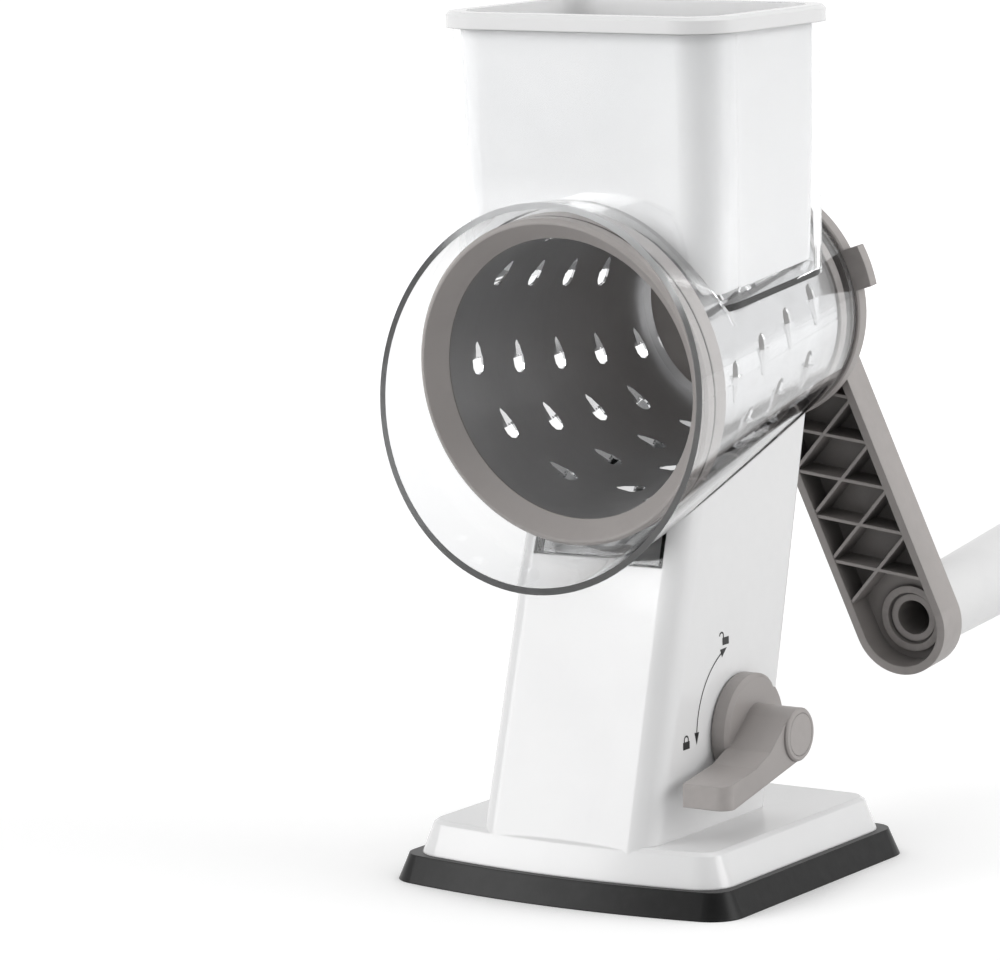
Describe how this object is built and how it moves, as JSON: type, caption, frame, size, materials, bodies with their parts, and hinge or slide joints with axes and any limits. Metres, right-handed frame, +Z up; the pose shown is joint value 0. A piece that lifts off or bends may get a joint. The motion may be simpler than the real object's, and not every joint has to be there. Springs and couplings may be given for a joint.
{
  "type": "rotary drum shredder",
  "caption": "Hand cranked rotary shredder: tapered steel drum in a clear barrel with a square feed chute and pusher, on a leaning stand with a lever locked suction foot.",
  "frame": {"origin": "on the table surface under the middle of the suction foot", "axes": "+Z up; -Y toward the open mouth of the drum; +Y toward the crank; +X toward the suction lever"},
  "size_m": [0.136, 0.2654, 0.2968],
  "materials": {
    "white_plastic": "smooth gloss",
    "white_grip": "smooth gloss",
    "grey_plastic": "fine satin, warm grey",
    "clear_plastic": "clear, glossy",
    "polished_steel": "polished",
    "black_rubber": "smooth, slightly glossy"
  },
  "bodies": {
    "stand": {"stand_shell": "white_plastic", "suction_skirt": "black_rubber", "bottom_cover": "white_plastic", "cam_bracket": "white_plastic"},
    "suction_lever": {"lever_handle": "grey_plastic", "lever_cap": "grey_plastic", "lever_cam": "grey_plastic"},
    "suction_stem": {"stem_yoke": "grey_plastic", "suction_membrane": "black_rubber"},
    "housing": {"clear_housing": "clear_plastic"},
    "rear_cap": {"bearing_cap": "grey_plastic"},
    "crank": {"crank_arm": "grey_plastic", "hub_cover": "grey_plastic", "grip_axle": "grey_plastic"},
    "grip": {"handle_grip": "white_grip", "grip_cap": "white_grip"},
    "drum": {"drum_rim": "grey_plastic", "drum_cone": "polished_steel", "drum_hub": "grey_plastic"},
    "food_pusher": {"pusher": "white_plastic"}
  },
  "joints": [
    {"name": "lever_turn", "type": "hinge", "parent": "stand", "child": "suction_lever", "pos_m": [0.035, 0.0064, 0.051], "axis": [-1, 0, 0], "range_deg": [0, 75]},
    {"name": "stem_lift", "type": "slide", "parent": "stand", "child": "suction_stem", "axis": [0, 0, -1], "range_m": [0, 0.004], "deforming": ["suction_membrane"]},
    {"name": "housing_lift", "type": "slide", "parent": "stand", "child": "housing", "axis": [0, 0, 1], "range_m": [0, 0.06]},
    {"name": "cap_turn", "type": "hinge", "parent": "housing", "child": "rear_cap", "pos_m": [0, 0.07784, 0.1889], "axis": [0, 0.9941, 0.1085], "range_deg": [0, 30]},
    {"name": "crank_turn", "type": "hinge", "parent": "rear_cap", "child": "crank", "pos_m": [0, 0.08579, 0.18977], "axis": [0, 0.9941, 0.1085], "continuous": true},
    {"name": "grip_turn", "type": "hinge", "parent": "crank", "child": "grip", "pos_m": [0.04533, 0.1165, 0.07432], "axis": [0, 0.9941, 0.1085], "continuous": true},
    {"name": "drum_pull", "type": "slide", "parent": "crank", "child": "drum", "axis": [0, -0.9941, -0.1085], "range_m": [0, 0.16]},
    {"name": "pusher_lift", "type": "slide", "parent": "housing", "child": "food_pusher", "axis": [0, 0, 1], "range_m": [0, 0.12]}
  ],
  "couplings": [
    {"joint": "stem_lift", "follows": "lever_turn", "m_per_rad": 0.003055}
  ]
}
